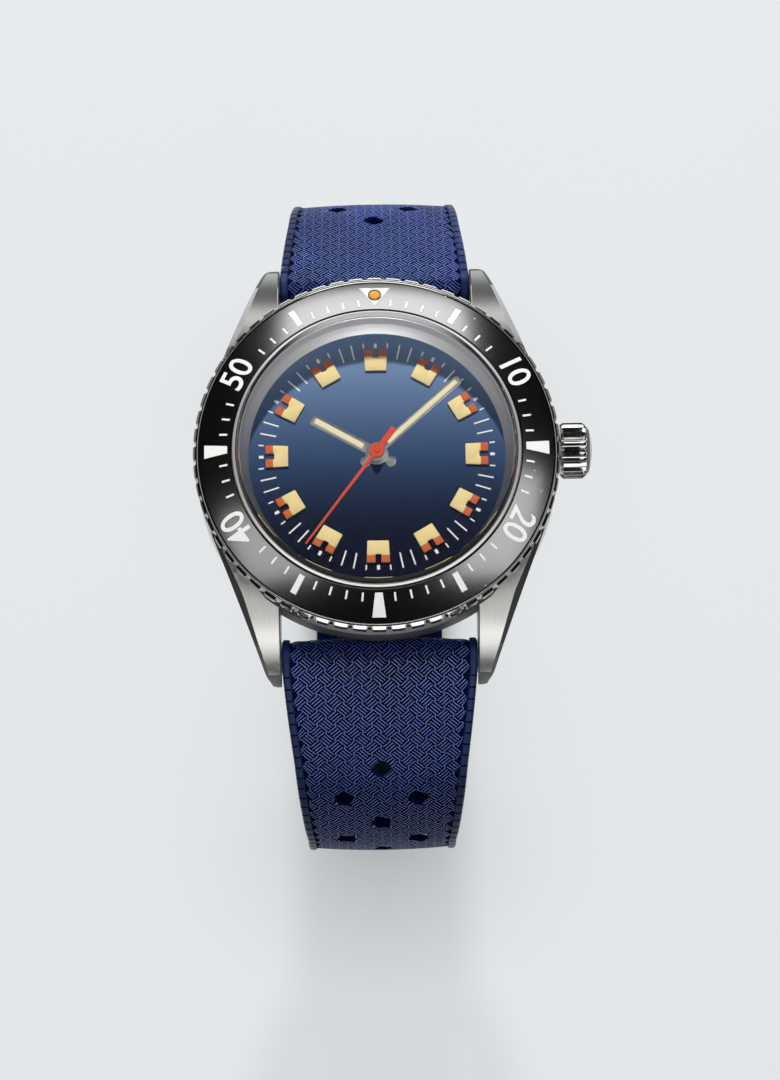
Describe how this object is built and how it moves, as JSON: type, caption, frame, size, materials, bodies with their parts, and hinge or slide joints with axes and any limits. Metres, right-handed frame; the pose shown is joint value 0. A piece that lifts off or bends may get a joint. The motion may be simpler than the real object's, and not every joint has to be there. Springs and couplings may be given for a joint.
{
  "type": "dive wristwatch",
  "caption": "Steel dive wristwatch with a turning black bezel, blue dial, three hands, crown and mechanical movement, on a two-piece blue rubber strap with a pin buckle.",
  "frame": {"origin": "centre of the case back's outer face", "axes": "+X towards the crown at three o'clock, +Y towards twelve o'clock, +Z out through the dial and crystal"},
  "size_m": [0.0413, 0.073, 0.0801],
  "materials": {
    "brushed_steel": "brushed steel",
    "polished_steel": "polished steel",
    "movement_steel": "fine ground steel",
    "plated_brass": "rhodium plated, satin",
    "brass": "gilt",
    "blued_steel": "blued",
    "ruby": "polished",
    "gasket_rubber": "matte",
    "crystal": "polished, coated",
    "insert_black": "glossy black with white print",
    "dial_blue": "blue lacquer",
    "lume_cream": "cream luminous paint",
    "lume_orange": "orange luminous paint",
    "orange_paint": "orange red paint",
    "strap_rubber": "dark blue rubber, woven relief"
  },
  "bodies": {
    "case": {"mid_case": "brushed_steel", "caseback": "brushed_steel", "caseback_gasket": "gasket_rubber", "crystal": "crystal", "crystal_gasket": "gasket_rubber", "dial_flange": "polished_steel", "dial": "dial_blue", "marker_lume": "lume_cream", "marker_tips": "lume_orange", "crown_tube": "polished_steel", "bezel_click_spring": "movement_steel", "bezel_wire": "movement_steel", "movement_ring": "plated_brass", "main_plate": "brushed_steel", "barrel_bridge": "plated_brass", "train_bridge": "plated_brass", "balance_cock": "plated_brass", "jewels": "ruby", "bridge_screws": "blued_steel", "rotor_bearing": "movement_steel", "spring_bar_upper": "polished_steel", "spring_bar_lower": "polished_steel"},
    "bezel": {"bezel": "polished_steel", "bezel_insert": "insert_black", "bezel_pip": "lume_orange"},
    "minute": {"centre_wheel": "brass", "cannon_pinion": "movement_steel", "minute_hand": "polished_steel", "minute_hand_lume": "lume_cream"},
    "hour": {"hour_wheel": "brass", "hour_hand": "polished_steel", "hour_hand_lume": "lume_cream"},
    "seconds": {"fourth_wheel": "brass", "seconds_hand": "orange_paint"},
    "third": {"third_wheel": "brass"},
    "barrel": {"barrel": "brass", "mainspring": "blued_steel"},
    "ratchet": {"ratchet_wheel": "movement_steel"},
    "minute_work": {"minute_wheel": "brass"},
    "escape": {"escape_wheel": "movement_steel"},
    "pallet": {"pallet_fork": "movement_steel"},
    "balance": {"balance_wheel": "brass", "hairspring": "blued_steel"},
    "crown_wheel": {"crown_wheel": "movement_steel"},
    "click": {"click": "movement_steel"},
    "clutch": {"sliding_pinion": "movement_steel", "winding_pinion": "movement_steel"},
    "crown": {"crown": "polished_steel", "crown_gasket": "gasket_rubber", "winding_stem": "movement_steel"},
    "rotor": {"rotor": "brushed_steel"},
    "strap_short": {"strap_short": "strap_rubber", "keeper_fixed": "strap_rubber"},
    "strap_long": {"strap_long": "strap_rubber"},
    "buckle": {"buckle": "polished_steel", "buckle_bar": "polished_steel"},
    "tang": {"buckle_tang": "polished_steel"},
    "keeper": {"keeper_loose": "strap_rubber"}
  },
  "joints": [
    {"name": "bezel_turn", "type": "hinge", "parent": "case", "child": "bezel", "pos_m": [0, 0, 0.009], "axis": [0, 0, 1], "continuous": true},
    {"name": "minute_turn", "type": "hinge", "parent": "case", "child": "minute", "pos_m": [0, 0, 0.008], "axis": [0, 0, -1], "continuous": true},
    {"name": "hour_turn", "type": "hinge", "parent": "case", "child": "hour", "pos_m": [0, 0, 0.0075], "axis": [0, 0, -1], "continuous": true},
    {"name": "seconds_turn", "type": "hinge", "parent": "case", "child": "seconds", "pos_m": [0, 0, 0.0087], "axis": [0, 0, -1], "continuous": true},
    {"name": "third_turn", "type": "hinge", "parent": "case", "child": "third", "pos_m": [-0.00295, -0.00206, 0.004], "axis": [0, 0, -1], "continuous": true},
    {"name": "minute_work_turn", "type": "hinge", "parent": "case", "child": "minute_work", "pos_m": [0.00277, 0.0016, 0.0062], "axis": [0, 0, -1], "continuous": true},
    {"name": "barrel_turn", "type": "hinge", "parent": "case", "child": "barrel", "pos_m": [0.00236, 0.00584, 0.0038], "axis": [0, 0, -1], "continuous": true},
    {"name": "escape_turn", "type": "hinge", "parent": "case", "child": "escape", "pos_m": [0.00048, -0.00271, 0.0035], "axis": [0, 0, -1], "continuous": true},
    {"name": "pallet_swing", "type": "hinge", "parent": "case", "child": "pallet", "pos_m": [0.00237, -0.00419, 0.0036], "axis": [0, 0, 1], "range_deg": [-5, 5]},
    {"name": "balance_swing", "type": "hinge", "parent": "case", "child": "balance", "pos_m": [0.00468, -0.00599, 0.0031], "axis": [0, 0, 1], "range_deg": [-160, 160]},
    {"name": "crown_turn", "type": "hinge", "parent": "case", "child": "clutch", "pos_m": [0.009, 0.0012, 0.0048], "axis": [1, 0, 0], "continuous": true},
    {"name": "crown_pull", "type": "slide", "parent": "clutch", "child": "crown", "axis": [1, 0, 0], "range_m": [0, 0.0015]},
    {"name": "crown_wheel_turn", "type": "hinge", "parent": "case", "child": "crown_wheel", "pos_m": [0.0089, 0.0012, 0.0034], "axis": [0, 0, 1], "continuous": true},
    {"name": "ratchet_turn", "type": "hinge", "parent": "case", "child": "ratchet", "pos_m": [0.00236, 0.00584, 0.0031], "axis": [0, 0, 1], "continuous": true},
    {"name": "click_swing", "type": "hinge", "parent": "case", "child": "click", "pos_m": [-0.00353, 0.00924, 0.0031], "axis": [0, 0, 1], "range_deg": [0, 10]},
    {"name": "rotor_spin", "type": "hinge", "parent": "case", "child": "rotor", "pos_m": [0, 0, 0.0015], "axis": [0, 0, 1], "continuous": true},
    {"name": "strap_short_swing", "type": "hinge", "parent": "case", "child": "strap_short", "pos_m": [0, 0.02, 0.0022], "axis": [1, 0, 0], "range_deg": [0, 70]},
    {"name": "strap_long_swing", "type": "hinge", "parent": "case", "child": "strap_long", "pos_m": [0, -0.02, 0.0022], "axis": [-1, 0, 0], "range_deg": [0, 70]},
    {"name": "buckle_swing", "type": "hinge", "parent": "strap_short", "child": "buckle", "pos_m": [0, 0.02308, -0.05694], "axis": [1, 0, 0], "range_deg": [-45, 45]},
    {"name": "tang_swing", "type": "hinge", "parent": "buckle", "child": "tang", "pos_m": [0, 0.02308, -0.05694], "axis": [1, 0, 0], "range_deg": [0, 80]},
    {"name": "keeper_slide", "type": "slide", "parent": "strap_short", "child": "keeper", "axis": [0, -0.3206, -0.9472], "range_m": [-0.014, 0.003]}
  ],
  "couplings": [
    {"joint": "hour_turn", "follows": "minute_turn", "ratio": 0.083333},
    {"joint": "seconds_turn", "follows": "minute_turn", "ratio": 60},
    {"joint": "third_turn", "follows": "minute_turn", "ratio": -8},
    {"joint": "minute_work_turn", "follows": "minute_turn", "ratio": -0.33333},
    {"joint": "barrel_turn", "follows": "minute_turn", "ratio": -0.16667},
    {"joint": "escape_turn", "follows": "minute_turn", "ratio": -600},
    {"joint": "crown_wheel_turn", "follows": "crown_turn", "ratio": 0.66667},
    {"joint": "ratchet_turn", "follows": "crown_turn", "ratio": -0.25}
  ]
}
